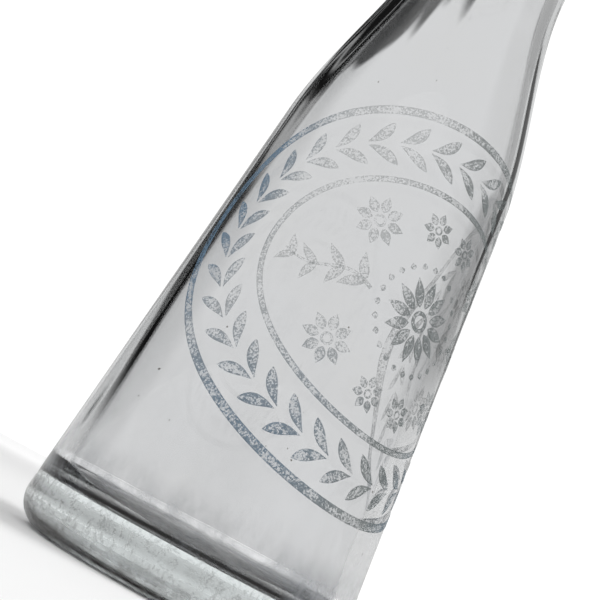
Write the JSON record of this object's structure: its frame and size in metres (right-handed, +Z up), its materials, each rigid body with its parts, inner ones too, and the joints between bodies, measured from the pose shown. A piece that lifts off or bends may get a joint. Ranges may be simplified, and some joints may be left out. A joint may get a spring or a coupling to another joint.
{
  "type": "milk bottle",
  "caption": "Round tapering clear glass milk bottle with a thick base, a sloping shoulder and a porcelain stopper on a wire swing-top closure.",
  "frame": {"origin": "centre of the standing ring, on the surface the bottle stands on", "axes": "+Z up along the bottle's axis; -Y is the front, with the etched mark and the lever's handle; +X is to the right seen from the front, along the lever's hinge line"},
  "size_m": [0.0842, 0.0842, 0.2595],
  "materials": {
    "clear_glass": "clear, fire-polished, lightly scratched",
    "etched_mark": "sand-blasted, matt and speckled",
    "collar_wire": "tinned wire, slightly dulled",
    "closure_wire": "tinned wire, worn bright at the bends",
    "porcelain": "white glaze",
    "rubber": "matt moulded rubber"
  },
  "bodies": {
    "bottle": {"glass_bottle": "clear_glass", "neck_collar": "collar_wire"},
    "lever": {"lever": "closure_wire"},
    "bail": {"bail": "closure_wire"},
    "stopper": {"porcelain_stopper": "porcelain", "rubber_gasket": "rubber"}
  },
  "joints": [
    {"name": "lever_swing", "type": "hinge", "parent": "bottle", "child": "lever", "pos_m": [0, 0, 0.222], "axis": [-1, 0, 0], "range_deg": [0, 150]},
    {"name": "bail_swing", "type": "hinge", "parent": "lever", "child": "bail", "pos_m": [0, 0, 0.211], "axis": [1, 0, 0], "range_deg": [0, 95]},
    {"name": "stopper_tilt", "type": "hinge", "parent": "bail", "child": "stopper", "pos_m": [0, 0, 0.254], "axis": [1, 0, 0], "range_deg": [0, 56]}
  ],
  "couplings": [
    {"joint": "bail_swing", "follows": "lever_swing", "ratio": 0.63},
    {"joint": "stopper_tilt", "follows": "lever_swing", "ratio": 0.37}
  ]
}
